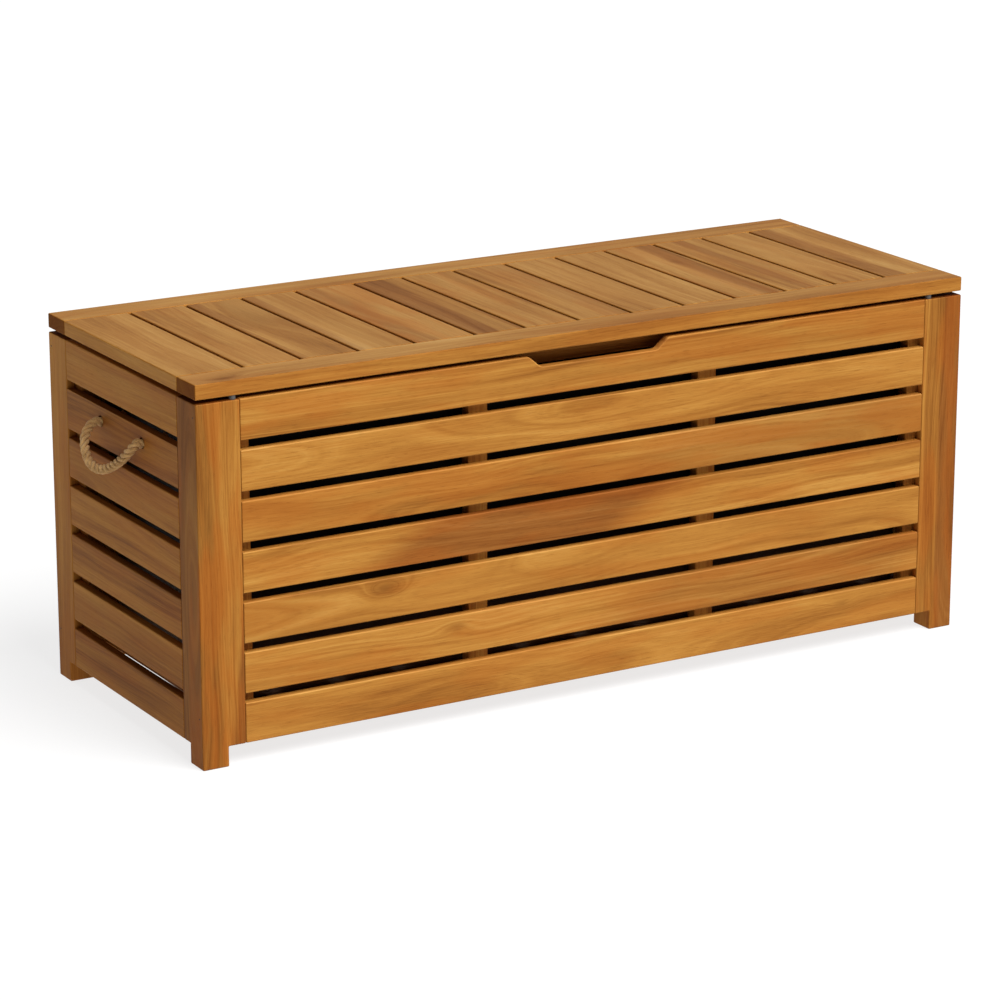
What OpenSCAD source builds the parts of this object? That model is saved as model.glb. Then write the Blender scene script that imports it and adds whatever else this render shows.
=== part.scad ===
// Slatted hardwood deck storage box with a hinged lid, a fabric liner, rope handles and two gas struts.
// The origin is on the ground under the middle of the box. X runs along its length and the front faces -Y.

/* [Box] */
// Outside length of the box and its lid
box_length = 1300; // [1150:10:1400]
// Outside depth of the box and its lid
box_depth = 490; // [450:5:560]
// Height from the ground to the top of the lid
box_height = 560; // [520:5:600]
// Height of the feet below the bottom slats
foot_height = 30; // [20:1:45]
// Thickness of the wall slats
slat_thick = 14; // [12:1:16]
// Open gap between two wall slats
slat_gap = 14; // [10:1:15]

/* [Posts] */
// Side of the square leg inside each corner post
leg_size = 41; // [36:1:45]
// Width of a corner post seen from the front
post_front_w = 68; // [60:1:80]
// Width of a corner post seen from the end
post_side_w = 60; // [54:1:70]

/* [Lid] */
// Thickness of the lid boards
lid_thick = 22; // [20:1:24]
// Shadow gap between the lid and the box
lid_gap = 6; // [5:0.5:7]
// Width of the long front and back rails
rail_w = 58; // [50:1:66]
// Width of the board at each end of the lid
end_board_w = 101; // [90:1:120]
// Open gap between two lid boards
lid_board_gap = 5; // [2:0.5:6]
// How much wider the fourth board is than the fifth
wide_board_extra = 16; // [0:1:20]
// How far the lid opens, in degrees
lid_open = 95; // [80:1:95]

/* [Finger notch] */
// Width of the notch along the top edge
notch_top_w = 238; // [180:2:260]
// Length of each sloping side, measured along the edge
notch_slope = 20; // [15:1:25]
// Depth of the notch
notch_depth = 17; // [10:1:18]
// Radius of the notch's soft corners
notch_round = 11; // [6:1:14]

/* [Liner] */
// Height of the fabric liner, from the floor slats to its hem
liner_h = 410; // [380:5:415]
// Thickness of the liner's cloth
liner_thick = 1.5; // [1:0.5:2]

/* [Rope handles] */
// Diameter of the rope
rope_d = 15; // [12:1:15]
// Diameter of the holes that the rope passes through
rope_hole_d = 17; // [16:1:18]
// Distance between the two holes of a handle
rope_hole_span = 138; // [138:1:150]
// Height of the holes above the middle of their slat
rope_hole_rise = 8; // [0:1:12]
// Diameter of the stopper knots inside the box
knot_d = 32; // [28:1:34]

/* [Hinges] */
// Length of one hinge leaf
hinge_l = 64; // [50:1:80]
// Distance from the middle hinge to each outer hinge
hinge_spacing = 440; // [380:10:480]
// Diameter of the hinge knuckle
knuckle_d = 7; // [6.4:0.1:7]
// Diameter of the hinge pin
hinge_pin_d = 3.5; // [3:0.1:3.6]
// Thickness of a hinge leaf
leaf_thick = 1.8; // [1.5:0.1:2]

/* [Gas struts] */
// Diameter of the strut's cylinder
strut_d = 16; // [14:1:16]
// Diameter of the strut's rod
strut_rod_d = 8; // [6:1:8]
// Length of the cylinder from its lower pivot
strut_cylinder_l = 150; // [149:1:154]

/* [Hidden] */
SLATS = 7;
LID_BOARDS = 12;

$fn = 48;
WOOD = "#b9773a";
LID_WOOD = "#b17a45";
INNER_WOOD = "#94602f";
ROPE = "#b79a6b";
STEEL = "#a9abad";
RUBBER = "#3a3026";
CLOTH = "#1d1d1c";

// Outside half sizes and levels
half_l = box_length / 2;
half_d = box_depth / 2;
lid_bottom = box_height - lid_thick;
body_top = lid_bottom - lid_gap;
slat_h = (body_top - foot_height - (SLATS - 1) * slat_gap) / SLATS;
slat_pitch = slat_h + slat_gap;
front_slat_l = box_length - 2 * post_front_w;
side_slat_l = box_depth - 2 * post_side_w;

// Uprights that the slats are screwed to, behind the slats
upright_thick = 20;
end_upright_w = 46;
side_upright_w = 44;
mid_upright_w = 32;
mid_upright_x = 196;
upright_bottom = foot_height + 4;
front_upright_top = body_top - 8;
back_upright_top = body_top - 42;
end_upright_x = half_l - leg_size - 1 - end_upright_w / 2;
side_upright_y = half_d - leg_size - side_upright_w / 2;
inner_front_y = half_d - slat_thick - upright_thick;
inner_side_x = half_l - slat_thick - upright_thick;

// Screws that hold the slats to the uprights
wall_screw_d = 4;
wall_screw_head_d = 8;
wall_screw_head_h = 1.5;
wall_screw_l = 29;
wall_screw_inset = 12;
screw_from_edge = 7;

// Floor
bearer_w = 25;
bearer_h = 30;
bearer_bottom = upright_bottom;
bearer_end = 50;
floor_slat_w = 80;
floor_slat_thick = 14;
floor_slat_count = 12;
floor_slat_pitch = 102.8;
floor_play = 1;
floor_top = bearer_bottom + bearer_h + floor_slat_thick;

// Liner, which hangs from press studs on the uprights
liner_half_l = 580;
liner_half_d = inner_front_y - wall_screw_head_h - 1;
liner_bottom = floor_top + 0.5;
liner_top = liner_bottom + liner_h;
stud_d = 5;
stud_cap_d = 12;
stud_cap_h = 1.8;
stud_play = 0.3;
stud_drop = 30;
stud_end_x = liner_half_l - 10;

// Lid framing
batten_w = 40;
batten_h = 28;
batten_half_l = half_l - 75;
batten_clear = 2;
board_l = box_depth - 2 * rail_w;
board_w = (box_length - 2 * end_board_w - (LID_BOARDS + 1) * lid_board_gap) / LID_BOARDS;
board_pitch = board_w + lid_board_gap;
wide_board = 4;
bumper_d = 10;
bumper_inset = 59;

// Hinges: the axis is just behind the back face, in the middle of the shadow gap
hinge_wall = 0.1;
hinge_y = half_d + knuckle_d / 2 + hinge_wall;
hinge_z = body_top + lid_gap / 2;
knuckles = 5;
knuckle_play = 0.25;
pin_play = 0.05;
leaf_w = slat_thick;
leaf_back = knuckle_d / 2 + 0.5;
hinge_screw_y = half_d - slat_thick / 2;
hinge_screw_d = 3;
hinge_screw_head_d = 6.4;
hinge_screw_l = 16;
hinge_screw_pitch = 23;
screw_play = 0.05;

// Gas struts: pivot points are counted from the hinge axis, towards the front and down
strut_x = half_l - 53;
strut_lid_front = 88;
strut_lid_drop = 10;
strut_box_front = 108;
strut_box_drop = hinge_z - (foot_height + 4 * slat_pitch + slat_h / 2);
strut_rod_l = 156;
strut_eye_w = 13.5;
strut_stud_d = 8;
strut_boss_d = 14;
strut_shoulder = strut_boss_d / 2 + 1;
strut_plate = 2.5;
strut_bore_d = 13;
strut_plug = 14;
strut_gland = 9;
strut_piston_l = 6;
strut_play = 0.3;
strut_closed_y = strut_box_front - strut_lid_front;
strut_closed_z = strut_box_drop - strut_lid_drop;
strut_closed_l = norm([strut_closed_y, strut_closed_z]);
strut_lean = atan2(strut_closed_y, strut_closed_z);

// Rope handles: route of the left loop as distance out of the face, along the face, and down from the holes
rope_hole_z = foot_height + 5 * slat_pitch + slat_h / 2 + rope_hole_rise;
rope_pivot_out = 8;
rope_sides = 10;
rope_fan = rope_hole_span / 138;
ROPE_ROUTE = [
    [rope_pivot_out, 69, 0], [13.5, 69, 2.2], [19.5, 68, 7], [25, 65.3, 13.5], [29.5, 60.7, 21],
    [32.5, 54, 29.5], [34.5, 45.5, 37.5], [35.5, 36, 44.5], [35.5, 26, 49], [34.5, 15.5, 51.5],
    [33, 5, 51.5], [31, -5, 49.7], [29, -15, 46.3], [27, -25, 41.5], [25, -34.5, 36], [23, -43.5, 30],
    [21.2, -52, 23.5], [18.7, -59.5, 16.2], [14.5, -65.6, 8], [rope_pivot_out, -69, 0]
];

function turned(i) = i <= 0 ? ROPE_ROUTE[1] - ROPE_ROUTE[0]
    : i >= len(ROPE_ROUTE) - 1 ? ROPE_ROUTE[i] - ROPE_ROUTE[i - 1]
    : ROPE_ROUTE[i + 1] - ROPE_ROUTE[i - 1];
function unit(v) = v / norm(v);

// Each ring is [centre, direction, radius], with rounded ends at both pivots
function rope_ring(i) = [ROPE_ROUTE[i], unit(turned(i)), rope_d / 2];
function cap_ring(i, side, a) = [
    ROPE_ROUTE[i] + side * unit(turned(i)) * sin(a) * rope_d / 2, unit(turned(i)), cos(a) * rope_d / 2
];
ROPE_LAST = len(ROPE_ROUTE) - 1;
ROPE_CAP = [88, 60, 30];
ROPE_RINGS = concat(
    [for (a = ROPE_CAP) cap_ring(0, -1, a)],
    [for (i = [0:ROPE_LAST]) rope_ring(i)],
    [for (k = [len(ROPE_CAP) - 1:-1:0]) cap_ring(ROPE_LAST, 1, ROPE_CAP[k])]
);

// A point on a ring; the ring's own x axis is kept square to a fixed direction, so that the tube doesn't twist
function ring_point(ring, k) =
    let (t = ring[1], u = unit(cross(t, [0.8, 0, 0.6])), v = cross(t, u), a = 360 * k / rope_sides)
    ring[0] + ring[2] * (cos(a) * u + sin(a) * v);

function arc(cx, cz, r, from, to) = [for (k = [0:6]) let (a = from + (to - from) * k / 6) [cx + r * cos(a), cz + r * sin(a)]];

// A box given by its middle in X and Y and its lowest level
module board(size, pos) {
    translate([pos.x - size.x / 2, pos.y - size.y / 2, pos.z]) cube(size);
}

// A corner post: a square leg down to the ground and two wings that cover the corner above the feet
module corner_post(x_side, y_side) {
    color(WOOD)
        scale([x_side, y_side, 1])
            union() {
                translate([half_l - leg_size, half_d - leg_size, 0])
                    cube([leg_size, leg_size, body_top]);
                translate([half_l - post_front_w, half_d - slat_thick, foot_height])
                    cube([post_front_w, slat_thick, body_top - foot_height]);
                translate([half_l - slat_thick, half_d - post_side_w, foot_height])
                    cube([slat_thick, post_side_w, body_top - foot_height]);
            }
}

// The level of the bottom of a wall slat, counted from the top one
function slat_bottom(i) = foot_height + (SLATS - i) * slat_pitch;

module long_slat(i, y_side) {
    board([front_slat_l, slat_thick, slat_h], [0, y_side * (half_d - slat_thick / 2), slat_bottom(i)]);
}

// Half of the notch's outline from its middle to the top edge, with a hollow and then a full corner
function notch_half() =
    let (
        a = atan2(notch_depth, notch_slope),
        t = notch_round * tan(a / 2),
        x_top = notch_top_w / 2,
        x_low = x_top - notch_slope
    )
    concat(
        arc(x_low - t, notch_round - notch_depth, notch_round, -90, a - 90),
        arc(x_top + t, -notch_round, notch_round, 90 + a, 90)
    );

module notch_cutter() {
    half = notch_half();
    last = len(half) - 1;
    outline = concat(
        half,
        [[half[last].x, 1], [-half[last].x, 1]],
        [for (k = [last:-1:0]) [-half[k].x, half[k].y]]
    );
    translate([0, -half_d + slat_thick + 1, body_top])
        rotate([90, 0, 0])
            linear_extrude(slat_thick + 2)
                polygon(outline);
}

module front_slat(i) {
    color(WOOD)
        if (i == 1)
            difference() {
                long_slat(i, -1);
                notch_cutter();
            }
        else
            long_slat(i, -1);
}

module back_slat(i) {
    color(WOOD) long_slat(i, 1);
}

module side_slat(i, x_side) {
    board([slat_thick, side_slat_l, slat_h], [x_side * (half_l - slat_thick / 2), 0, slat_bottom(i)]);
}

// All side slats but the second from the top, which carries the rope handle
module plain_side_slats(x_side) {
    color(WOOD)
        for (i = [1:SLATS])
            if (i != 2)
                side_slat(i, x_side);
}

module handle_slat(x_side) {
    color(WOOD)
        difference() {
            side_slat(2, x_side);
            for (y = [-1, 1])
                translate([x_side * (half_l - slat_thick / 2), y * rope_hole_span / 2, rope_hole_z])
                    rotate([0, 90, 0])
                        cylinder(d = rope_hole_d, h = slat_thick + 2, center = true);
        }
}

module long_wall_uprights(y_side, top) {
    y = y_side * (inner_front_y + upright_thick / 2);
    for (x = [-end_upright_x, end_upright_x])
        board([end_upright_w, upright_thick, top - upright_bottom], [x, y, upright_bottom]);
    for (x = [-mid_upright_x, mid_upright_x])
        board([mid_upright_w, upright_thick, top - upright_bottom], [x, y, upright_bottom]);
}

module end_wall_uprights() {
    for (x = [-1, 1], y = [-1, 1])
        board(
            [upright_thick, side_upright_w, front_upright_top - upright_bottom],
            [x * (inner_side_x + upright_thick / 2), y * side_upright_y, upright_bottom]
        );
}

module wall_uprights() {
    color(INNER_WOOD) {
        long_wall_uprights(-1, front_upright_top);
        long_wall_uprights(1, back_upright_top);
        end_wall_uprights();
    }
}

// A pan-head screw that points along +Z with its head below the origin
module wall_screw() {
    translate([0, 0, -wall_screw_head_h]) cylinder(d = wall_screw_head_d, h = wall_screw_head_h);
    cylinder(d = wall_screw_d, h = wall_screw_l);
}

// The top slat's screws sit low, below the lid's battens, and the bottom slat's sit high, above the floor slats
function wall_screw_z(i) =
    slat_bottom(i) + (i == 1 ? screw_from_edge : i == SLATS ? slat_h - screw_from_edge : slat_h / 2);

module wall_screws() {
    long_screw_x = front_slat_l / 2 - wall_screw_inset;
    side_screw_y = side_slat_l / 2 - wall_screw_inset;
    color(STEEL)
        for (i = [1:SLATS]) {
            for (x = [-long_screw_x, -mid_upright_x, mid_upright_x, long_screw_x], y = [-1, 1])
                translate([x, y * inner_front_y, wall_screw_z(i)])
                    rotate([-90 * y, 0, 0])
                        wall_screw();
            for (x = [-1, 1], y = [-side_screw_y, side_screw_y])
                translate([x * inner_side_x, y, wall_screw_z(i)])
                    rotate([0, 90 * x, 0])
                        wall_screw();
        }
}

module floor_bearers() {
    color(INNER_WOOD)
        for (y = [-1, 1])
            board(
                [2 * (half_l - bearer_end), bearer_w, bearer_h],
                [0, y * (inner_front_y - bearer_w / 2), bearer_bottom]
            );
}

module floor_slats() {
    color(INNER_WOOD)
        for (k = [0:floor_slat_count - 1])
            board(
                [floor_slat_w, 2 * (inner_front_y - floor_play), floor_slat_thick],
                [(k - (floor_slat_count - 1) / 2) * floor_slat_pitch, 0, bearer_bottom + bearer_h]
            );
}

STUD_X = [-stud_end_x, -mid_upright_x, mid_upright_x, stud_end_x];
stud_z = liner_top - stud_drop;

// Places its children on the uprights' inner faces with +Z into the box
module at_studs() {
    for (x = STUD_X, y = [-1, 1])
        translate([x, y * inner_front_y, stud_z])
            rotate([90 * y, 0, 0])
                children();
}

module liner() {
    color(CLOTH)
        difference() {
            board([2 * liner_half_l, 2 * liner_half_d, liner_h], [0, 0, liner_bottom]);
            board(
                [2 * (liner_half_l - liner_thick), 2 * (liner_half_d - liner_thick), liner_h],
                [0, 0, liner_bottom + liner_thick]
            );
            at_studs()
                cylinder(d = stud_d + 2 * stud_play, h = inner_front_y - liner_half_d + liner_thick + 1);
        }
}

module liner_studs() {
    cap_z = inner_front_y - liner_half_d + liner_thick + stud_play;
    color(CLOTH)
        at_studs() {
            cylinder(d = stud_d, h = cap_z);
            translate([0, 0, cap_z])
                cylinder(d = stud_cap_d, h = stud_cap_h);
        }
}

module lid_bumpers() {
    color(RUBBER)
        for (x = [-1, 1])
            translate([x * (half_l - bumper_inset), -half_d + bumper_d / 2 + 1, body_top])
                cylinder(d = bumper_d, h = lid_gap);
}

// Lid boards
module lid_rail(y_side) {
    color(LID_WOOD)
        board([box_length, rail_w, lid_thick], [0, y_side * (half_d - rail_w / 2), lid_bottom]);
}

module lid_end_board(x_side) {
    color(LID_WOOD)
        board([end_board_w, board_l, lid_thick], [x_side * (half_l - end_board_w / 2), 0, lid_bottom]);
}

// The left edge of a lid board, where the fourth takes some width from the fifth
function board_left(i) =
    -half_l + end_board_w + lid_board_gap + (i - 1) * board_pitch
    + (i == wide_board + 1 ? wide_board_extra / 2 : 0);
function board_right(i) =
    -half_l + end_board_w + i * board_pitch + (i == wide_board ? wide_board_extra / 2 : 0);

module lid_board(i) {
    color(LID_WOOD)
        translate([board_left(i), -board_l / 2, lid_bottom])
            cube([board_right(i) - board_left(i), board_l, lid_thick]);
}

module lid_battens() {
    color(INNER_WOOD)
        for (y = [-1, 1])
            board(
                [2 * batten_half_l, batten_w, batten_h],
                [0, y * (inner_front_y - batten_clear - batten_w / 2), lid_bottom - batten_h]
            );
}

// Hinges
HINGE_X = [-hinge_spacing, 0, hinge_spacing];
knuckle_pitch = hinge_l / knuckles;

// A countersunk screw with its head flush at the origin and its point along +Z
module flush_screw(play) {
    head_h = (hinge_screw_head_d - hinge_screw_d) / 2;
    cylinder(d1 = hinge_screw_head_d + 2 * play, d2 = hinge_screw_d + 2 * play, h = head_h);
    cylinder(d = hinge_screw_d + 2 * play, h = hinge_screw_l);
}

module knuckle(k) {
    translate([-hinge_l / 2 + k * knuckle_pitch + knuckle_play / 2, 0, 0])
        rotate([0, 90, 0])
            cylinder(d = knuckle_d, h = knuckle_pitch - knuckle_play);
}

// One leaf with the knuckles whose numbers are given, below the axis for z_side -1 and above it for +1
module hinge_leaf(own_knuckles, z_side) {
    leaf_z = z_side < 0 ? -lid_gap / 2 : lid_gap / 2 - leaf_thick;
    leaf_front = hinge_y - hinge_screw_y + leaf_w / 2;
    difference() {
        union() {
            translate([-hinge_l / 2, -leaf_front, leaf_z])
                cube([hinge_l, leaf_front - leaf_back, leaf_thick]);
            for (k = own_knuckles) {
                knuckle(k);
                translate([-hinge_l / 2 + k * knuckle_pitch + knuckle_play / 2, -leaf_back - 1, leaf_z])
                    cube([knuckle_pitch - knuckle_play, leaf_back + 1, leaf_thick]);
            }
        }
        rotate([0, 90, 0])
            cylinder(d = hinge_pin_d + 2 * pin_play, h = hinge_l + 2, center = true);
        for (x = [-hinge_screw_pitch, 0, hinge_screw_pitch])
            translate([x, hinge_screw_y - hinge_y, leaf_z + (z_side < 0 ? leaf_thick : 0)])
                rotate([z_side < 0 ? 180 : 0, 0, 0])
                    flush_screw(screw_play);
    }
}

module hinge_leaves(own_knuckles, z_side) {
    color(STEEL)
        for (x = HINGE_X)
            translate([x, hinge_y, hinge_z])
                hinge_leaf(own_knuckles, z_side);
}

module hinge_pins() {
    color(STEEL)
        for (x = HINGE_X)
            translate([x, hinge_y, hinge_z])
                rotate([0, 90, 0])
                    cylinder(d = hinge_pin_d, h = hinge_l, center = true);
}

module hinge_screws(z_side) {
    leaf_z = z_side < 0 ? body_top + leaf_thick : lid_bottom - leaf_thick;
    color(STEEL)
        for (x = HINGE_X, dx = [-hinge_screw_pitch, 0, hinge_screw_pitch])
            translate([x + dx, hinge_screw_y, leaf_z])
                rotate([z_side < 0 ? 180 : 0, 0, 0])
                    flush_screw(0);
}

// Gas struts. Each is drawn about its lower pivot, with its length along +Z and the wall towards +X.
module strut_at(x_side) {
    scale([x_side, 1, 1])
        translate([strut_x, hinge_y - strut_box_front, hinge_z - strut_box_drop])
            rotate([-strut_lean, 0, 0])
                children();
}

module strut_cylinder(x_side) {
    color(RUBBER)
        strut_at(x_side)
            difference() {
                union() {
                    translate([0, 0, strut_shoulder])
                        cylinder(d = strut_d, h = strut_cylinder_l - strut_shoulder);
                    cylinder(d = strut_eye_w, h = strut_shoulder + 1);
                    rotate([0, 90, 0])
                        cylinder(d = strut_boss_d + 2, h = strut_eye_w, center = true);
                }
                rotate([0, 90, 0])
                    cylinder(d = strut_stud_d + 2 * pin_play, h = strut_d + 2, center = true);
                translate([0, 0, strut_plug])
                    cylinder(d = strut_bore_d, h = strut_cylinder_l - strut_plug - strut_gland);
                translate([0, 0, strut_plug])
                    cylinder(d = strut_rod_d + 2 * pin_play, h = strut_cylinder_l);
            }
}

module strut_rod(x_side) {
    color(STEEL)
        strut_at(x_side) {
            translate([0, 0, strut_closed_l - strut_rod_l])
                cylinder(d = strut_rod_d, h = strut_rod_l);
            translate([0, 0, strut_closed_l - strut_rod_l])
                cylinder(d = strut_bore_d - 0.4, h = strut_piston_l);
            translate([0, 0, strut_closed_l])
                rotate([0, 90, 0])
                    cylinder(d = strut_boss_d, h = strut_eye_w, center = true);
        }
}

// Plate on the end wall with the stud that the cylinder turns on
module strut_box_brackets() {
    plate_x = half_l - slat_thick - strut_x;
    boss_x = strut_eye_w / 2 + strut_play;
    color(STEEL)
        for (x = [-1, 1])
            scale([x, 1, 1])
                translate([strut_x, hinge_y - strut_box_front, hinge_z - strut_box_drop]) {
                    translate([plate_x - strut_plate, -15, -25])
                        cube([strut_plate, 30, 50]);
                    translate([boss_x, 0, 0])
                        rotate([0, 90, 0])
                            cylinder(d = strut_boss_d, h = plate_x - strut_plate - boss_x);
                    translate([-boss_x, 0, 0])
                        rotate([0, 90, 0])
                            cylinder(d = strut_stud_d, h = 2 * boss_x);
                    translate([-boss_x - 2, 0, 0])
                        rotate([0, 90, 0])
                            cylinder(d = strut_boss_d - 2, h = 2);
                }
}

// Angle plate under the lid; its boss stops just short of the rod's end
module strut_lid_brackets() {
    leg_x = strut_eye_w / 2 + 2;
    plate_z = lid_gap / 2 + strut_lid_drop;
    color(STEEL)
        for (x = [-1, 1])
            scale([x, 1, 1])
                translate([strut_x, hinge_y - strut_lid_front, hinge_z - strut_lid_drop]) {
                    translate([leg_x, -20, plate_z - strut_plate])
                        cube([22, 40, strut_plate]);
                    translate([leg_x, -8, -8])
                        cube([strut_plate, 16, plate_z + 8]);
                    translate([strut_eye_w / 2 + strut_play, 0, 0])
                        rotate([0, 90, 0])
                            cylinder(d = strut_stud_d, h = 2);
                }
}

// Rope handles
module rope_tube() {
    rings = len(ROPE_RINGS);
    polyhedron(
        points = [for (ring = ROPE_RINGS, k = [0:rope_sides - 1]) ring_point(ring, k)],
        faces = concat(
            [[for (k = [0:rope_sides - 1]) k]],
            [for (i = [0:rings - 2], k = [0:rope_sides - 1])
                let (n = (k + 1) % rope_sides, a = i * rope_sides, b = a + rope_sides)
                [a + k, b + k, b + n, a + n]],
            [[for (k = [rope_sides - 1:-1:0]) (rings - 1) * rope_sides + k]]
        )
    );
}

// The route's first number points out of the wall and its third points down
module rope_loop(x_side) {
    color(ROPE)
        translate([x_side * half_l, 0, rope_hole_z])
            scale([x_side, rope_fan, -1])
                rope_tube();
}

// The rope's two ends inside the wall, each with its stopper knot
module rope_knots() {
    color(ROPE)
        for (x = [-1, 1], y = [-1, 1])
            translate([x * half_l, y * rope_hole_span / 2, rope_hole_z])
                rotate([0, -90 * x, 0]) {
                    cylinder(d = rope_d, h = slat_thick + knot_d / 2);
                    translate([0, 0, slat_thick + knot_d / 2]) sphere(d = knot_d);
                }
}

corner_post(-1, -1);  // front_left_post
corner_post(1, -1);  // front_right_post
corner_post(-1, 1);  // back_left_post
corner_post(1, 1);  // back_right_post
for (i = [1:SLATS]) front_slat(i);
for (i = [1:SLATS]) back_slat(i);
plain_side_slats(-1);  // left_side_slats
handle_slat(-1);  // left_handle_slat
plain_side_slats(1);  // right_side_slats
handle_slat(1);  // right_handle_slat
wall_uprights();
wall_screws();
floor_bearers();
floor_slats();
liner();
liner_studs();
lid_bumpers();
hinge_leaves([0, 2, 4], -1);  // hinge_box_leaves
hinge_pins();
hinge_screws(-1);  // hinge_box_screws
strut_box_brackets();
rope_knots();
rope_loop(-1);  // left_rope_loop
rope_loop(1);  // right_rope_loop
lid_rail(-1);  // lid_front_rail
lid_rail(1);  // lid_back_rail
lid_end_board(-1);  // lid_left_end_board
lid_end_board(1);  // lid_right_end_board
for (i = [1:LID_BOARDS]) lid_board(i);
lid_battens();
hinge_leaves([1, 3], 1);  // hinge_lid_leaves
hinge_screws(1);  // hinge_lid_screws
strut_lid_brackets();
strut_cylinder(-1);  // left_strut_cylinder
strut_rod(-1);  // left_strut_rod
strut_cylinder(1);  // right_strut_cylinder
strut_rod(1);  // right_strut_rod
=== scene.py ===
"""Slatted deck storage box: camera, light, ropes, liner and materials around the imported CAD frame."""

import math
import random
import bpy
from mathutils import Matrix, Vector


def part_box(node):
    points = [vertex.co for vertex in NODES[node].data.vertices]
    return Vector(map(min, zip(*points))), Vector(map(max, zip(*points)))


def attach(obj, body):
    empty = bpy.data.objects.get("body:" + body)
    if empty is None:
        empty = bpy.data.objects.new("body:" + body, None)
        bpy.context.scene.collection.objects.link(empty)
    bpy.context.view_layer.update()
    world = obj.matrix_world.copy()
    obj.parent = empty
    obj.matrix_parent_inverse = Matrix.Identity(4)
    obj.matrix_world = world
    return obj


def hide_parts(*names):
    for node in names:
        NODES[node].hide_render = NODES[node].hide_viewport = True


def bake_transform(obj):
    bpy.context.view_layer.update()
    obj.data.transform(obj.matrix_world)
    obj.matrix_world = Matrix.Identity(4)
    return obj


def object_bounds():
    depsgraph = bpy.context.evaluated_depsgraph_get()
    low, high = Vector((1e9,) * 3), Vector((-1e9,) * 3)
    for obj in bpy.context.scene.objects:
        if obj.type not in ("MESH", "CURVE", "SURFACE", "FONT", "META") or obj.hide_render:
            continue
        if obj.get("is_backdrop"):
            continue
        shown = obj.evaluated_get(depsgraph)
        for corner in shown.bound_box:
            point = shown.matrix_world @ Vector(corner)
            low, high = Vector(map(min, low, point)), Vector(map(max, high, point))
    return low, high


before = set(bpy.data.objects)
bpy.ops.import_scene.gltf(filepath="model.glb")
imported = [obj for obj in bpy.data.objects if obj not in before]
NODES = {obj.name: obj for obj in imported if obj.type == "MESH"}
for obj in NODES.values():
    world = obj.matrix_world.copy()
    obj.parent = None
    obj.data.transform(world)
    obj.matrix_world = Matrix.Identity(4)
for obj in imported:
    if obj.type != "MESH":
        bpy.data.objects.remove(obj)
cad_low, cad_high = (list(corner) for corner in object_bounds())

# ---------------------------------------------------------------- camera

CAMERA_AT = (-2.856, -4.829, 1.885)
CAMERA_TURN = math.radians(30.39)
CAMERA_DIP = math.radians(16.35)
CAMERA_LENS = 138.4


def make_camera():
    data = bpy.data.cameras.new("camera")
    data.lens = CAMERA_LENS
    data.sensor_width = 36
    camera = bpy.data.objects.new("camera", data)
    camera.location = CAMERA_AT
    camera.rotation_euler = (math.pi / 2 - CAMERA_DIP, 0, -CAMERA_TURN)
    bpy.context.scene.collection.objects.link(camera)
    bpy.context.scene.camera = camera


make_camera()

# ---------------------------------------------------------------- measures taken from the frame

SLAT_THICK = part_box("front_slat_2")[1].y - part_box("front_slat_2")[0].y
HALF_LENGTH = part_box("lid_front_rail")[1].x
KNOT_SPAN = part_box("rope_knots")[1].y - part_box("rope_knots")[0].y
KNOT_D = 0.032
HOLE_SPAN = KNOT_SPAN - KNOT_D
HOLE_Z = (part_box("rope_knots")[0].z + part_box("rope_knots")[1].z) / 2

# ---------------------------------------------------------------- small helpers


def link(name, mesh):
    piece = bpy.data.objects.new(name, mesh)
    bpy.context.scene.collection.objects.link(piece)
    return piece


def smooth_shade(mesh):
    for face in mesh.polygons:
        face.use_smooth = True


class Nodes:
    """A small builder for shader nodes: each call adds one node and joins its inputs."""

    def __init__(self, tree):
        self.tree = tree

    def add(self, kind, inputs=None, **settings):
        node = self.tree.nodes.new(kind)
        for key, value in settings.items():
            setattr(node, key, value)
        for key, value in (inputs or {}).items():
            self.join(value, node.inputs[key])
        return node

    def join(self, value, socket):
        if isinstance(value, bpy.types.NodeSocket):
            self.tree.links.new(value, socket)
        elif isinstance(value, bpy.types.Node):
            self.tree.links.new(value.outputs[0], socket)
        else:
            socket.default_value = value

    def math(self, operation, a, b=0.0, c=0.0, clamp=False):
        return self.add("ShaderNodeMath", {0: a, 1: b, 2: c}, operation=operation, use_clamp=clamp)

    def vector(self, operation, a, b=(0, 0, 0)):
        return self.add("ShaderNodeVectorMath", {0: a, 1: b}, operation=operation)

    def combine(self, x, y, z):
        return self.add("ShaderNodeCombineXYZ", {0: x, 1: y, 2: z})

    def noise(self, vector, scale=1.0, detail=2.0, rough=0.5):
        inputs = {"Vector": vector, "Scale": scale, "Detail": detail, "Roughness": rough}
        return self.add("ShaderNodeTexNoise", inputs)

    def smooth(self, value, low, high):
        inputs = {"Value": value, "From Min": low, "From Max": high}
        return self.add("ShaderNodeMapRange", inputs, interpolation_type="SMOOTHSTEP")

    def mix(self, factor, a, b, blend="MIX"):
        inputs = {0: factor, 6: a, 7: b}
        node = self.add("ShaderNodeMix", inputs, data_type="RGBA", blend_type=blend)
        return node.outputs[2]

    def ramp(self, factor, stops):
        node = self.add("ShaderNodeValToRGB", {0: factor})
        ramp = node.color_ramp
        while len(ramp.elements) < len(stops):
            ramp.elements.new(0.5)
        for element, (position, colour) in zip(ramp.elements, stops):
            element.position = position
            element.color = (*colour, 1)
        return node.outputs[0]


def new_material(name):
    material = bpy.data.materials.new(name)
    material.use_nodes = True
    material.node_tree.nodes.clear()
    n = Nodes(material.node_tree)
    surface = n.add("ShaderNodeBsdfPrincipled")
    n.add("ShaderNodeOutputMaterial", {"Surface": surface})
    return material, n, surface


def put_material(piece, material):
    piece.data.materials.clear()
    piece.data.materials.append(material)


# ---------------------------------------------------------------- rope

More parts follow.
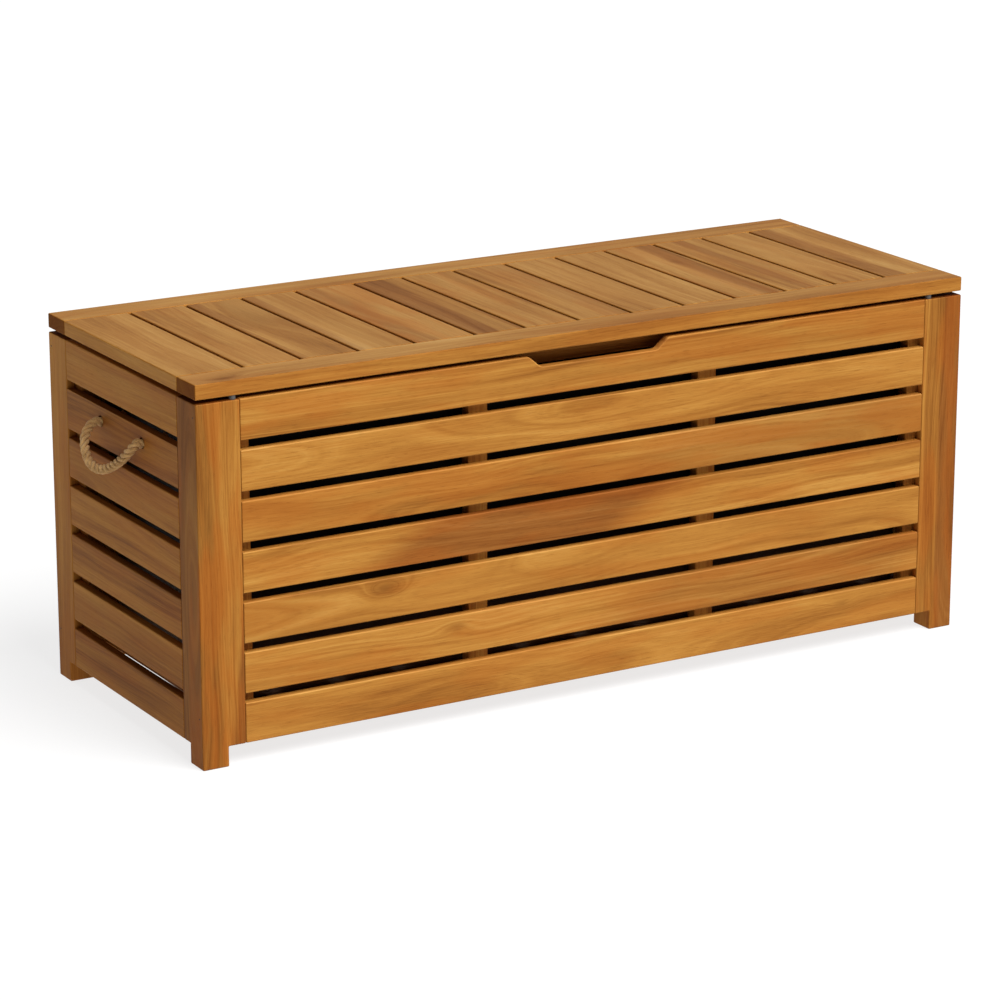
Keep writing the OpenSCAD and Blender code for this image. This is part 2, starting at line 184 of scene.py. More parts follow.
# The loop's route: distance out of the end face, place along it, and distance down from the holes
ROPE_ROUTE = [
    (0.008, 0.069, 0), (0.0135, 0.069, 0.0022), (0.0195, 0.068, 0.007), (0.025, 0.0653, 0.0135),
    (0.0295, 0.0607, 0.021), (0.0325, 0.054, 0.0295), (0.0345, 0.0455, 0.0375), (0.0355, 0.036, 0.0445),
    (0.0355, 0.026, 0.049), (0.0345, 0.0155, 0.0515), (0.033, 0.005, 0.0515), (0.031, -0.005, 0.0497),
    (0.029, -0.015, 0.0463), (0.027, -0.025, 0.0415), (0.025, -0.0345, 0.036), (0.023, -0.0435, 0.03),
    (0.0212, -0.052, 0.0235), (0.0187, -0.0595, 0.0162), (0.0145, -0.0656, 0.008), (0.008, -0.069, 0),
]
ROPE_LAY = 0.031
STRANDS = 3
STRAND_SIDES = 16
STRAND_R = 0.0037
STRAND_OUT = 0.0035
RING_STEP = 0.0012
ROPE_DROP = 0.0008


def smooth_path(points, step):
    """A Catmull-Rom curve through the points, as points about one step apart."""
    points = [Vector(p) for p in points]
    padded = [2 * points[0] - points[1], *points, 2 * points[-1] - points[-2]]
    out = []
    for a, b, c, d in zip(padded, padded[1:], padded[2:], padded[3:]):
        count = max(1, round((c - b).length / step))
        for k in range(count):
            t = k / count
            out.append(
                0.5 * (2 * b + (c - a) * t + (2 * a - 5 * b + 4 * c - d) * t * t)
                + 0.5 * (3 * b - a - 3 * c + d) * t ** 3
            )
    return [*out, points[-1]]


def frames_along(path):
    """A centre, tangent and two steady cross directions for each point."""
    last = len(path) - 1
    tangents = [(path[min(i + 1, last)] - path[max(i - 1, 0)]).normalized() for i in range(last + 1)]
    side = tangents[0].orthogonal().normalized()
    out = []
    for centre, tangent in zip(path, tangents):
        side = (side - tangent * side.dot(tangent)).normalized()
        out.append((centre, tangent, side, tangent.cross(side)))
    return out


def rope_mesh(name, points, squeeze=1.0):
    """A three-strand laid rope along the points. Its UV map runs along and round each strand."""
    path = smooth_path(points, RING_STEP)
    rings = frames_along(path)
    mesh = bpy.data.meshes.new(name)
    verts, faces, uvs = [], [], []
    for strand in range(STRANDS):
        start = len(verts)
        run = 0.0
        for i, (centre, tangent, u, v) in enumerate(rings):
            if i:
                run += (centre - rings[i - 1][0]).length
            turn = 2 * math.pi * (run / ROPE_LAY + strand / STRANDS)
            out = u * math.cos(turn) + v * math.sin(turn)
            across = tangent.cross(out)
            for k in range(STRAND_SIDES):
                a = 2 * math.pi * k / STRAND_SIDES
                point = out * (STRAND_OUT + STRAND_R * math.cos(a)) + across * STRAND_R * math.sin(a)
                verts.append(centre + point * squeeze)
                uvs.append((run, k / STRAND_SIDES + strand))
        count = len(rings)
        for i in range(count - 1):
            for k in range(STRAND_SIDES):
                n = (k + 1) % STRAND_SIDES
                a, b = start + i * STRAND_SIDES, start + (i + 1) * STRAND_SIDES
                faces.append((a + k, a + n, b + n, b + k))
        faces.append(tuple(start + k for k in reversed(range(STRAND_SIDES))))
        faces.append(tuple(start + (count - 1) * STRAND_SIDES + k for k in range(STRAND_SIDES)))
    mesh.from_pydata(verts, [], faces)
    layer = mesh.uv_layers.new(name="strand")
    for face in mesh.polygons:
        last_side = STRAND_SIDES - 1
        wraps = any(mesh.loops[i].vertex_index % STRAND_SIDES == last_side for i in face.loop_indices)
        for i in face.loop_indices:
            index = mesh.loops[i].vertex_index
            along, round_ = uvs[index]
            if wraps and index % STRAND_SIDES == 0 and len(face.loop_indices) == 4:
                round_ += 1
            layer.data[i].uv = (along, round_)
    smooth_shade(mesh)
    return mesh, path


def rope_material():
    """Pale jute: yarns wound round each strand, with loose darker and lighter fibres."""
    material, n, surface = new_material("rope")
    uv = n.add("ShaderNodeUVMap", uv_map="strand").outputs[0]
    parts = n.add("ShaderNodeSeparateXYZ", {0: uv}).outputs
    along, round_ = parts[0], parts[1]
    slant = n.math("MULTIPLY_ADD", along, -55.0, round_)
    yarn = n.math("SINE", n.math("MULTIPLY", slant, 2 * math.pi * 7))
    place = n.add("ShaderNodeTexCoord").outputs["Object"]
    fluff = n.combine(n.math("MULTIPLY", along, 180.0), n.math("MULTIPLY", slant, 30.0), 0.0)
    loose = n.noise(fluff, 1.0, 3.0, 0.6)
    cloud = n.noise(place, 90.0, 3.0, 0.6).outputs[0]
    value = n.math("MULTIPLY_ADD", yarn, 0.10, n.math("MULTIPLY", loose.outputs[0], 0.6))
    value = n.math("ADD", value, n.math("MULTIPLY", cloud, 0.35))
    colour = n.ramp(value, [
        (0.25, (0.165, 0.068, 0.014)),
        (0.40, (0.430, 0.212, 0.058)),
        (0.55, (0.710, 0.425, 0.150)),
        (0.75, (0.950, 0.690, 0.340)),
    ])
    n.join(colour, surface.inputs["Base Color"])
    surface.inputs["Roughness"].default_value = 0.9
    surface.inputs["Sheen Weight"].default_value = 0.12
    surface.inputs["Sheen Roughness"].default_value = 0.6
    height = n.math("MULTIPLY_ADD", yarn, 0.5, loose.outputs[0])
    bump = n.add("ShaderNodeBump", {"Height": height, "Distance": 0.0006, "Strength": 0.8})
    n.join(bump, surface.inputs["Normal"])
    return material


ROPE_MATERIAL = rope_material()
KNOT_SCALE = 0.0048
KNOT_POINTS = 17
KNOT_SQUEEZE = 0.72
ROPE_THROUGH = 0.004


def knot_route(inside):
    """An overhand knot just inside the wall, as places along the hole's axis and across it."""
    points = []
    for k in range(KNOT_POINTS):
        t = 2 * math.pi * (k + 1.2) / (KNOT_POINTS + 1)
        across = math.sin(t) + 2 * math.sin(2 * t)
        up = math.cos(t) - 2 * math.cos(2 * t)
        depth = -math.sin(3 * t) * 0.9 * KNOT_SCALE
        points.append((inside - KNOT_D / 2 + depth, across * 0.8 * KNOT_SCALE, up * 0.8 * KNOT_SCALE))
    return points


def make_handle(side):
    """The rope from knot to knot on one end; side is -1 on the left and 1 on the right."""
    face = side * HALF_LENGTH
    wall = SLAT_THICK

    def placed(out, y, down):
        return (face + side * out, y, HOLE_Z - down)

    half = HOLE_SPAN / 2
    through = [placed(out, half, ROPE_DROP) for out in (-wall - ROPE_THROUGH, -wall / 2, 0)]
    back = [placed(out, -half, ROPE_DROP) for out in (0, -wall / 2, -wall - ROPE_THROUGH)]
    route = through + [placed(*p) for p in ROPE_ROUTE] + back
    name = "left_rope" if side < 0 else "right_rope"
    mesh, path = rope_mesh(name, route)
    rope = link(name, mesh)
    put_material(rope, ROPE_MATERIAL)
    for end in (-1, 1):
        spots = [placed(out, end * half + y, -z) for out, y, z in knot_route(-wall)]
        knot_mesh, _ = rope_mesh(f"{name}_knot_{'front' if end < 0 else 'back'}", spots, KNOT_SQUEEZE)
        knot = link(knot_mesh.name, knot_mesh)
        put_material(knot, ROPE_MATERIAL)
        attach(knot, "box")
        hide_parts("rope_knots")
    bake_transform(rope)
    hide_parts(name + "_loop")


make_handle(-1)
make_handle(1)

# ---------------------------------------------------------------- wood

# Oiled acacia, from the pale sapwood to the darkest heartwood streak
WOOD_RAMP = [
    (0.05, (0.088, 0.026, 0.0035)),
    (0.28, (0.205, 0.070, 0.0110)),
    (0.50, (0.335, 0.131, 0.0215)),
    (0.72, (0.430, 0.189, 0.0340)),
    (0.95, (0.520, 0.260, 0.0570)),
]
STREAK_COLOUR = (0.105, 0.029, 0.0045, 1)
WARM_COLOUR = (0.370, 0.088, 0.0080, 1)
END_GRAIN_TINT = (0.46, 0.35, 0.22, 1)
BAND_TINT = (0.56, 0.43, 0.46, 1)
PORE_TINT = (0.55, 0.45, 0.36, 1)
# Painted highlight: the paler tint put on the rounded upper edges, where they face up to the light
EDGE_HIGHLIGHT_TINT = (1.45, 1.65, 2.40, 1)
# How much of the painted edge highlight a board takes, by the start of its name
EDGE_HIGHLIGHT_SHARES = {"front_slat": 0.45, "lid": 0.0}
OTHER_EDGE_HIGHLIGHT_SHARE = 0.2
# Painted sheen: a paler, greyer tint on the lid's top faces for the pale sky's reflection
TOP_SHEEN_TINT = (0.97, 1.13, 1.80, 1)
AXES = {"x": (0, 1, 2), "y": (1, 2, 0), "z": (2, 0, 1)}


def make_wood_group():
    """Acacia as a solid texture: growth rings about a pith line, streaks, fibres, pores and a knot."""
    group = bpy.data.node_groups.new("acacia", "ShaderNodeTree")
    interface = group.interface
    for name, kind in (
        ("Place", "NodeSocketVector"),
        ("Seed", "NodeSocketVector"),
        ("Pith", "NodeSocketVector"),
        ("Knot", "NodeSocketVector"),
        ("Knot Pull", "NodeSocketFloat"),
        ("Tone", "NodeSocketFloat"),
        ("Streak", "NodeSocketFloat"),
        ("Warm", "NodeSocketFloat"),
        ("End", "NodeSocketFloat"),
        ("Edge Highlight", "NodeSocketFloat"),
        ("Top Sheen", "NodeSocketFloat"),
        ("Band", "NodeSocketVector"),
        ("Band At", "NodeSocketFloat"),
        ("Band Width", "NodeSocketFloat"),
        ("Band Dark", "NodeSocketFloat"),
        ("Figure", "NodeSocketFloat"),
    ):
        interface.new_socket(name, in_out="INPUT", socket_type=kind)
    interface.new_socket("Color", in_out="OUTPUT", socket_type="NodeSocketColor")
    interface.new_socket("Roughness", in_out="OUTPUT", socket_type="NodeSocketFloat")
    interface.new_socket("Height", in_out="OUTPUT", socket_type="NodeSocketFloat")
    n = Nodes(group)
    given = n.add("NodeGroupInput").outputs
    place = given["Place"]
    seeded = n.vector("ADD", place, given["Seed"])

    # Slow wander of the grain along the board
    wander = n.noise(n.vector("MULTIPLY", seeded, (1.3, 6.0, 6.0)), 1.0, 2.0, 0.5)
    wander = n.vector("SUBTRACT", wander.outputs["Color"], (0.5, 0.5, 0.5))
    wander = n.vector("MULTIPLY", wander, (0, 0.075, 0.075))

    # Distance from the knot, longer along the grain, bends the rings round it
    to_knot = n.vector("MULTIPLY", n.vector("SUBTRACT", place, given["Knot"]), (30.0, 78.0, 78.0))
    knot_off = n.vector("DOT_PRODUCT", to_knot, to_knot).outputs["Value"]
    knot_near = n.math("EXPONENT", n.math("MULTIPLY", knot_off, -1.0))
    knot_push = n.math("MULTIPLY", knot_near, given["Knot Pull"])
    knot_dark = n.math("MULTIPLY", given["Knot Pull"], 42.0)
    knot_core = n.math("MULTIPLY", n.math("POWER", knot_near, 4.0), knot_dark, clamp=True)

    from_pith = n.vector("ADD", n.vector("ADD", place, given["Pith"]), wander)
    from_pith = n.vector("MULTIPLY", from_pith, (0, 1, 1))
    radius = n.math("ADD", n.vector("LENGTH", from_pith).outputs["Value"], knot_push)
    along = n.add("ShaderNodeSeparateXYZ", {0: seeded}).outputs[0]
    seed_x = n.add("ShaderNodeSeparateXYZ", {0: given["Seed"]}).outputs[0]

    def ring_noise(per_metre, along_scale, detail, rough):
        across = n.math("MULTIPLY", radius, per_metre)
        drift = n.math("MULTIPLY", along, along_scale)
        return n.noise(n.combine(across, drift, seed_x), 1.0, detail, rough).outputs[0]

    bands = ring_noise(62.0, 0.9, 3.0, 0.55)
    lines = ring_noise(330.0, 2.2, 3.0, 0.6)
    heart = ring_noise(21.0, 0.7, 2.0, 0.5)
    blotch = n.noise(n.vector("MULTIPLY", seeded, (2.6, 14.0, 14.0)), 1.0, 3.0, 0.5).outputs[0]
    fibre = n.noise(n.vector("MULTIPLY", seeded, (13.0, 620.0, 620.0)), 1.0, 3.0, 0.65).outputs[0]
    pores = n.noise(n.vector("MULTIPLY", seeded, (48.0, 1500.0, 1500.0)), 1.0, 1.0, 0.5).outputs[0]

    def weigh(signal, weight, total):
        return n.math("MULTIPLY_ADD", n.math("SUBTRACT", signal, 0.5), weight, total)

    figure = weigh(lines, 0.80, weigh(bands, 1.10, 0.0))
    value = n.math("MULTIPLY_ADD", figure, given["Figure"], n.math("ADD", given["Tone"], 0.58))
    value = weigh(blotch, 0.60, value)
    value = weigh(fibre, 0.50, value)
    value = n.math("MULTIPLY_ADD", knot_push, -6.0, value)
    colour = n.ramp(value, WOOD_RAMP)

    # Dark heartwood follows the rings
    heartwood = n.math("MULTIPLY", n.smooth(heart, 0.50, 0.68), given["Streak"])
    heartwood = n.math("MULTIPLY", heartwood, n.smooth(fibre, 0.15, 0.75))
    colour = n.mix(heartwood, colour, STREAK_COLOUR)
    # A band of darker wood with a feathered edge that follows the grain
    feather = n.math("MULTIPLY", n.math("SUBTRACT", blotch, 0.5), 0.04)
    feather = n.math("MULTIPLY_ADD", n.math("SUBTRACT", bands, 0.5), 0.05, feather)
    off_band = n.vector("DOT_PRODUCT", place, given["Band"]).outputs["Value"]
    off_band = n.math("SUBTRACT", off_band, given["Band At"])
    off_band = n.math("ABSOLUTE", n.math("ADD", off_band, feather))
    inside = n.math("SUBTRACT", 1.15, n.math("DIVIDE", off_band, given["Band Width"]))
    band = n.math("MULTIPLY", n.smooth(inside, 0.0, 0.5), given["Band Dark"])
    colour = n.mix(band, colour, n.mix(1.0, colour, BAND_TINT, "MULTIPLY"))
    colour = n.mix(knot_core, colour, STREAK_COLOUR)
    # Warm patches
    patch = n.noise(n.vector("MULTIPLY", seeded, (3.4, 19.0, 19.0)), 1.7, 2.0, 0.5).outputs[0]
    colour = n.mix(n.math("MULTIPLY", n.smooth(patch, 0.42, 0.62), given["Warm"]), colour, WARM_COLOUR)
    # Open pores are short dark dashes
    pore = n.math("MULTIPLY", n.smooth(pores, 0.62, 0.72), 0.5)
    colour = n.mix(pore, colour, n.mix(1.0, colour, PORE_TINT, "MULTIPLY"))
    # End grain drinks the oil and goes darker
    colour = n.mix(given["End"], colour, n.mix(1.0, colour, END_GRAIN_TINT, "MULTIPLY"))
    # Painted sheen: the lid's top faces are tinted paler and greyer for the pale sky's reflection
    colour = n.mix(given["Top Sheen"], colour, n.mix(1.0, colour, TOP_SHEEN_TINT, "MULTIPLY"))
    # Painted highlight: the rounded upper edges that face up are tinted paler
    colour = n.mix(given["Edge Highlight"], colour, n.mix(1.0, colour, EDGE_HIGHLIGHT_TINT, "MULTIPLY"))

    rough = n.math("MULTIPLY_ADD", fibre, 0.16, 0.44)
    rough = n.math("MULTIPLY_ADD", given["End"], 0.22, rough)
    height = n.math("MULTIPLY_ADD", fibre, 0.7, n.math("MULTIPLY", lines, 0.5))
    height = n.math("MULTIPLY_ADD", pore, -0.8, height)
    n.add("NodeGroupOutput", {0: colour, 1: rough, 2: height})
    return group


WOOD = make_wood_group()
WOOD_SHINE = 0.05


def wood_material(
    name, axis, tone, streak, warm, knot=None, pull=0.0, cell=(0, 0, 0), origin=(0, 0, 0),
    top_sheen=0.0, figure=0.6,
):
    """One board's material. cell splits a node of several boards, so that each gets its own wood."""
    chance = random.Random(name)
    material, n, surface = new_material("wood_" + name)
    coordinates = n.add("ShaderNodeTexCoord")
    place = n.vector("SUBTRACT", coordinates.outputs["Object"], origin)
    parts = n.add("ShaderNodeSeparateXYZ", {0: place}).outputs
    turned = n.combine(*(parts[i] for i in AXES[axis]))
    seed = [chance.uniform(3, 40) for _ in range(3)]
    tone_in = tone
    if any(cell):
        cells = n.add("ShaderNodeVectorMath", {0: place, 1: cell}, operation="SNAP")
        dice = n.add("ShaderNodeTexWhiteNoise", {"Vector": n.vector("ADD", cells, seed)})
        seed = n.vector("MULTIPLY_ADD", dice.outputs["Color"], (30, 30, 30))
        tone_in = n.math("MULTIPLY_ADD", n.math("SUBTRACT", dice.outputs["Value"], 0.5), 0.22, tone)
    facing = n.add("ShaderNodeSeparateXYZ", {0: coordinates.outputs["Normal"]}).outputs
    end = n.smooth(n.math("ABSOLUTE", facing[AXES[axis][0]]), 0.6, 0.9)
    # Painted highlight: a mask of the bevel faces that face upwards, towards the light
    edge_highlight = n.math("MULTIPLY", n.smooth(facing[2], 0.12, 0.24), n.smooth(facing[2], 0.99, 0.90))
    shares = [share for start, share in EDGE_HIGHLIGHT_SHARES.items() if name.startswith(start)]
    edge_highlight = n.math("MULTIPLY", edge_highlight, shares[0] if shares else OTHER_EDGE_HIGHLIGHT_SHARE)
    group = n.add("ShaderNodeGroup", node_tree=WOOD)
    low, high = (Vector(corner) - Vector(origin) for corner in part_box(name))
    middle = (low + high) / 2
    middle = Vector([middle[i] for i in AXES[axis]])
    angle = chance.uniform(0, 2 * math.pi)
    reach = chance.uniform(0.05, 0.11)
    pith = (0, reach * math.cos(angle) - middle.y, reach * math.sin(angle) - middle.z)
    direction, at, width, dark = band_of(name, axis)
    for key, value in (
        ("Place", turned),
        ("Seed", seed),
        ("Pith", pith),
        ("Knot", knot or (0, 0, 0)),
        ("Knot Pull", pull),
        ("Tone", tone_in),
        ("Streak", streak),
        ("Warm", warm),
        ("End", end),
        ("Edge Highlight", edge_highlight),
        ("Top Sheen", n.math("MULTIPLY", n.smooth(facing[2], 0.90, 0.99), top_sheen)),
        ("Band", direction),
        ("Band At", at),
        ("Band Width", width),
        ("Band Dark", dark),
        ("Figure", figure),
    ):
        n.join(value, group.inputs[key])
    n.join(group.outputs["Color"], surface.inputs["Base Color"])
    n.join(group.outputs["Roughness"], surface.inputs["Roughness"])
    bump = n.add("ShaderNodeBump", {"Height": group.outputs["Height"], "Distance": 0.0004, "Strength": 0.5})
    n.join(bump, surface.inputs["Normal"])
    surface.inputs["Specular IOR Level"].default_value = WOOD_SHINE
    return material


def soften_edges(piece, width, segments=3):
    """Rounds the sharp edges. The frame's meshes come with their faces apart, so those are joined first."""
    join = piece.modifiers.new("join", "WELD")
    join.merge_threshold = 0.00001
    flat = piece.modifiers.new("flat", "DECIMATE")
    flat.decimate_type = "DISSOLVE"
    flat.angle_limit = math.radians(1)
    bevel = piece.modifiers.new("edges", "BEVEL")
    bevel.width = width
    bevel.segments = segments
    bevel.limit_method = "ANGLE"
    bevel.angle_limit = math.radians(35)
    piece.modifiers.new("shade", "WEIGHTED_NORMAL")


SLAT_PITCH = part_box("front_slat_1")[0].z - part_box("front_slat_2")[0].z
SLAT_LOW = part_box("front_slat_7")[0].z
BOARD_EDGE = 0.0020

# Grain axis, tone, heartwood and warmth of each board that needs more than the usual
BOARDS = {
    "front_left_post": ("z", -0.085, 0.75, 0.40),
    "front_right_post": ("z", -0.06, 0.85, 0.35),
    "back_left_post": ("z", -0.02, 0.40, 0.20),
    "back_right_post": ("z", -0.02, 0.40, 0.20),
    "front_slat_1": ("x", -0.02, 0.15, 0.30),
    "front_slat_2": ("x", 0.12, 0.05, 0.10),
    "front_slat_3": ("x", 0.10, 0.25, 0.30),
    "front_slat_4": ("x", 0.10, 0.45, 0.25),
    "front_slat_5": ("x", 0.03, 0.25, 0.20),
    "front_slat_6": ("x", 0.07, 0.30, 0.25),
    "front_slat_7": ("x", 0.04, 0.10, 0.20),
    "lid_front_rail": ("x", -0.02, 0.15, 0.15),
    "lid_back_rail": ("x", -0.02, 0.25, 0.15),
    "lid_left_end_board": ("y", 0.03, 0.15, 0.05),
    "lid_right_end_board": ("y", 0.00, 0.35, 0.10),
    "lid_board_1": ("y", 0.04, 0.10, 0.10),
    "lid_board_2": ("y", 0.00, 0.45, 0.05),
    "lid_board_3": ("y", 0.02, 0.35, 0.05),
    "lid_board_4": ("y", 0.03, 0.45, 0.30),
    "lid_board_5": ("y", -0.02, 0.60, 0.05),
    "lid_board_6": ("y", -0.01, 0.20, 0.20),
    "lid_board_7": ("y", 0.04, 0.20, 0.15),
    "lid_board_8": ("y", 0.03, 0.05, 0.05),
    "lid_board_9": ("y", 0.05, 0.05, 0.00),
    "lid_board_10": ("y", 0.00, 0.45, 0.20),
    "lid_board_11": ("y", 0.02, 0.50, 0.15),
    "lid_board_12": ("y", 0.03, 0.15, 0.10),
}
KNOTS = {
    "front_slat_5": ((-0.355, -0.245, 0.223), 0.013),
    "front_slat_6": ((-0.240, -0.245, 0.147), 0.008),
    "front_slat_7": ((0.440, -0.245, 0.070), 0.006),
    "lid_front_rail": ((-0.600, -0.230, 0.560), 0.014),
    "lid_board_10": ((0.330, 0.060, 0.560), 0.008),
}
# Darker bands: direction across the band, its middle and half width that way, and its strength
FRONT_BANDS = {
    "front_left_post": ((1, 0, -0.12), -0.595, 0.013, 0.75),
    "front_right_post": ((1, 0, 0), 0.641, 0.026, 0.85),
    "front_slat_3": ((1, 0, -1.5), -0.23, 0.26, 0.30),
    "front_slat_4": ((1, 0, -1.5), -0.55, 0.23, 0.88),
    "front_slat_6": ((1, 0, -1.5), 0.12, 0.30, 0.45),
}
# Lid boards: the band's middle and half width as shares of the board's width, and its strength
LID_BANDS = {
    "lid_board_2": (0.05, 0.14, 0.50),
    "lid_board_3": (0.10, 0.18, 0.45),
    "lid_board_4": (0.12, 0.32, 0.40),
    "lid_board_5": (0.22, 0.34, 0.62),
    "lid_board_7": (0.88, 0.36, 0.30),
    "lid_board_10": (0.80, 0.16, 0.40),
    "lid_board_11": (0.45, 0.14, 0.50),
    "lid_right_end_board": (0.20, 0.26, 0.45),
}


def band_of(name, axis):
    if name in LID_BANDS:
        low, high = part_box(name)
        middle, half, dark = LID_BANDS[name]
        width = high.x - low.x
        direction, at, half_width = (1, 0, 0), low.x + middle * width, half * width
    else:
        direction, at, half_width, dark = FRONT_BANDS.get(name, ((0, 0, 0), 1, 0.1, 0))
    return tuple(direction[i] for i in AXES[axis]), at, half_width, dark


FLOOR_SLAT_PITCH = 0.1028
GROUP_STREAK = 0.25
GROUP_WARM = 0.15
# Nodes of several boards: grain axis, tone, and the cells that part the boards
GROUPS = {
    "left_side_slats": ("y", -0.05, (0, 0, SLAT_PITCH), (0, 0, SLAT_LOW - 0.005)),
    "right_side_slats": ("y", -0.02, (0, 0, SLAT_PITCH), (0, 0, SLAT_LOW - 0.005)),
    "wall_uprights": ("z", -0.06, (0.4, 0.38, 0), (-0.2, -0.19, 0)),
    "floor_bearers": ("x", -0.16, (0, 10, 0), (0, 0, 0)),
    "floor_slats": ("y", -0.08, (FLOOR_SLAT_PITCH, 0, 0), (0, 0, 0)),
    "lid_battens": ("x", -0.10, (0, 10, 0), (0, 0, 0)),
}


def dress_wood():
    for i in range(1, 8):
        BOARDS.setdefault(f"back_slat_{i}", ("x", 0.02, 0.25, 0.20))
    BOARDS["left_handle_slat"] = ("y", -0.20, 0.35, 0.15)
    BOARDS["right_handle_slat"] = ("y", 0.0, 0.25, 0.15)
    for name, (axis, tone, streak, warm) in BOARDS.items():
        spot, pull = KNOTS.get(name, (None, 0.0))
        knot = None if spot is None else tuple(spot[i] for i in AXES[axis])
        # Only the lid boards take the painted sheen on their top faces
        top_sheen = 1.0 if name.startswith("lid") else 0.0
        figure = 0.9 if name.startswith("front") else 0.55
        material = wood_material(name, axis, tone, streak, warm, knot, pull, top_sheen=top_sheen, figure=figure)
        put_material(NODES[name], material)
        soften_edges(NODES[name], BOARD_EDGE)
    for name, (axis, tone, cell, origin) in GROUPS.items():
        material = wood_material(name, axis, tone, GROUP_STREAK, GROUP_WARM, cell=cell, origin=origin)
        put_material(NODES[name], material)
        soften_edges(NODES[name], BOARD_EDGE)


dress_wood()

# ---------------------------------------------------------------- small fittings that aren't in the frame


def disc_rows(profile, sides=20):
    """Vertices and faces of a turned piece about +Z from (radius, height) pairs, closed at both ends."""
    verts, faces = [], []
    for radius, height in profile:
        for k in range(sides):
            a = 2 * math.pi * k / sides
            verts.append((radius * math.cos(a), radius * math.sin(a), height))
    for i in range(len(profile) - 1):
        for k in range(sides):
            n = (k + 1) % sides
            faces.append((i * sides + k, i * sides + n, (i + 1) * sides + n, (i + 1) * sides + k))
    faces.append(tuple(reversed(range(sides))))
    faces.append(tuple((len(profile) - 1) * sides + k for k in range(sides)))
    return verts, faces


def scatter(name, profile, spots, sides=20):
    """Copies of a turned piece in one object; each spot is a place and the direction its top faces."""
    verts, faces = [], []
    shape, rows = disc_rows(profile, sides)
    for place, facing in spots:
        turn = Vector(facing).to_track_quat("Z", "Y")
        start = len(verts)
        verts += [turn @ Vector(v) + Vector(place) for v in shape]
        faces += [tuple(start + i for i in face) for face in rows]
    mesh = bpy.data.meshes.new(name)
    mesh.from_pydata(verts, [], faces)
    smooth_shade(mesh)
    return link(name, mesh)


NAIL_Y = 0.236
NAIL_LEVELS = (0.075, 0.512)
BATTEN_SCREW_IN = 0.020
BATTEN_SCREW_STAGGER = 0.007
BATTEN_SCREW_SHARES = (0.28, 0.72)
PIN_PROFILE = [(0.0013, -0.004), (0.0013, 0.00005), (0.0010, 0.00025), (0.0003, 0.0003)]
SCREW_PROFILE = [
    (0.0016, -0.010), (0.0018, -0.0016), (0.0040, -0.0002), (0.0041, 0.0002),
    (0.0036, 0.0005), (0.0016, 0.0007), (0.0012, -0.0005), (0.0003, -0.0007),
]


def make_fittings():
    """Nails through the posts' side wings, and the screws that hold the lid boards to their battens."""
    nails = []
    for x_side in (-1, 1):
        for y_side in (-1, 1):
            for level in NAIL_LEVELS:
                nails.append(((x_side * HALF_LENGTH, y_side * NAIL_Y, level), (x_side, 0, 0)))
    nails = scatter("post_nails", PIN_PROFILE, nails, 12)
    put_material(nails, metal_material("nail_steel", (0.045, 0.032, 0.024), 0.55, 0.6))
    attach(nails, "box")
    low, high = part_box("lid_battens")
    spots = []
    for y in (low.y + BATTEN_SCREW_IN, high.y - BATTEN_SCREW_IN):
        for i in range(1, 13):
            left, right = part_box(f"lid_board_{i}")
            for share, stagger in zip(BATTEN_SCREW_SHARES, (1, -1)):
                x = left.x + share * (right.x - left.x)
                spots.append(((x, y + stagger * BATTEN_SCREW_STAGGER, low.z), (0, 0, -1)))
    screws = scatter("batten_screws", SCREW_PROFILE, spots)
    put_material(screws, metal_material("screw_zinc", (0.56, 0.54, 0.48), 0.36))
    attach(screws, "lid")


# ---------------------------------------------------------------- metal and rubber


def metal_material(name, colour, rough, metallic=1.0):
    """Plated or painted steel with fine draw marks and a little dulling."""
    material, n, surface = new_material(name)
    place = n.add("ShaderNodeTexCoord").outputs["Object"]
    drawn = n.noise(n.vector("MULTIPLY", place, (60, 900, 900)), 1.0, 3.0, 0.6).outputs[0]
    cloud = n.noise(place, 70.0, 3.0, 0.6).outputs[0]
    dull = tuple(0.78 * c for c in colour)
    n.join(n.mix(n.smooth(cloud, 0.35, 0.7), (*colour, 1), (*dull, 1)), surface.inputs["Base Color"])
    roughness = n.math("MULTIPLY_ADD", drawn, 0.18, n.math("MULTIPLY_ADD", cloud, 0.10, rough - 0.10))
    n.join(roughness, surface.inputs["Roughness"])
    bump = n.add("ShaderNodeBump", {"Height": drawn, "Distance": 0.0001, "Strength": 0.35})
    n.join(bump, surface.inputs["Normal"])
    surface.inputs["Metallic"].default_value = metallic
    return material


def rubber_material():
    material, n, surface = new_material("bumper_rubber")
    place = n.add("ShaderNodeTexCoord").outputs["Object"]
    grain = n.noise(place, 900.0, 3.0, 0.6).outputs[0]
    colour = n.ramp(grain, [(0.3, (0.050, 0.046, 0.043)), (0.7, (0.090, 0.083, 0.076))])
    n.join(colour, surface.inputs["Base Color"])
    n.join(n.math("MULTIPLY_ADD", grain, 0.2, 0.62), surface.inputs["Roughness"])
    bump = n.add("ShaderNodeBump", {"Height": grain, "Distance": 0.0002, "Strength": 0.4})
    n.join(bump, surface.inputs["Normal"])
    return material


ZINC_PIECES = (
    "hinge_box_leaves", "hinge_lid_leaves", "hinge_pins", "strut_box_brackets", "strut_lid_brackets",
    "wall_screws", "hinge_box_screws", "hinge_lid_screws", "left_strut_rod", "right_strut_rod",
)


def dress_metal():
    zinc = metal_material("zinc_steel", (0.60, 0.60, 0.58), 0.38)
    black = metal_material("black_steel", (0.018, 0.018, 0.019), 0.42, 0.0)
    for name in ZINC_PIECES:
        put_material(NODES[name], zinc)
    for name in ("left_strut_cylinder", "right_strut_cylinder"):
        put_material(NODES[name], black)
    put_material(NODES["lid_bumpers"], rubber_material())
    soften_edges(NODES["lid_bumpers"], 0.0006, 2)


dress_metal()
make_fittings()

# ---------------------------------------------------------------- liner

